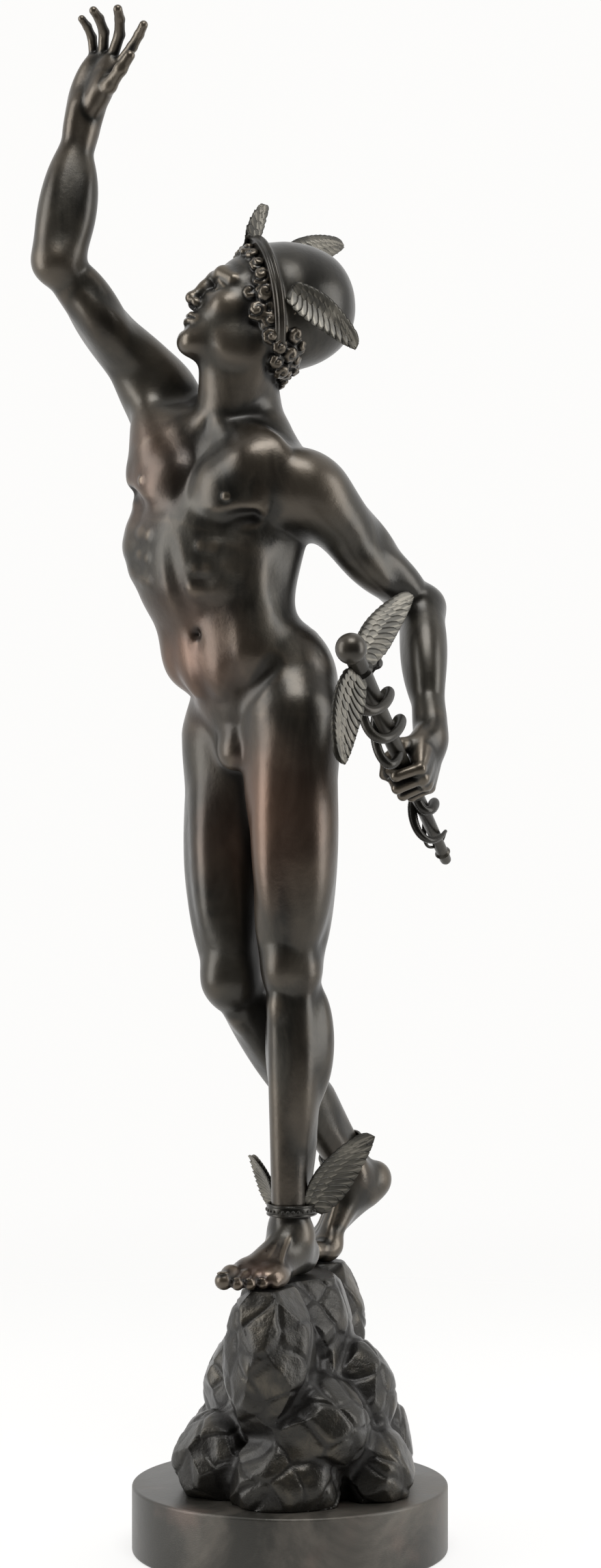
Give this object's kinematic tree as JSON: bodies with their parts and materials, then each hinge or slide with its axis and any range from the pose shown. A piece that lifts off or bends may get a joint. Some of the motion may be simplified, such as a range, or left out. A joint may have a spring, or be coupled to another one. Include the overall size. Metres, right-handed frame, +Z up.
{
  "type": "bronze statuette",
  "caption": "Standing bronze youth with a winged hat and a snake-twined staff, one arm raised, on a rocky mound and a round plinth.",
  "frame": {"origin": "centre of the plinth's underside, on the surface that it stands on", "axes": "+Z up; +X to the viewer's right in the front view, the figure's left; -Y towards the viewer"},
  "size_m": [0.241, 0.2325, 0.8746],
  "materials": {
    "plinth_bronze": "dark grey-brown satin bronze patina with cloudy marks",
    "mound_bronze": "dark grey-brown bronze patina, worn lighter on the high places",
    "figure_bronze": "dark brown-black waxed bronze patina, rubbed warm on the high places",
    "caduceus_bronze": "brown bronze patina, rubbed light on the coils",
    "wing_bronze": "brown bronze patina with chased feathers"
  },
  "bodies": {
    "root": {"plinth": "plinth_bronze", "mound": "mound_bronze", "figure": "figure_bronze", "caduceus": "caduceus_bronze", "hat_wing_right": "wing_bronze", "hat_wing_left": "wing_bronze", "left_ankle_wing_outer": "wing_bronze", "left_ankle_wing_inner": "wing_bronze"}
  },
  "joints": []
}
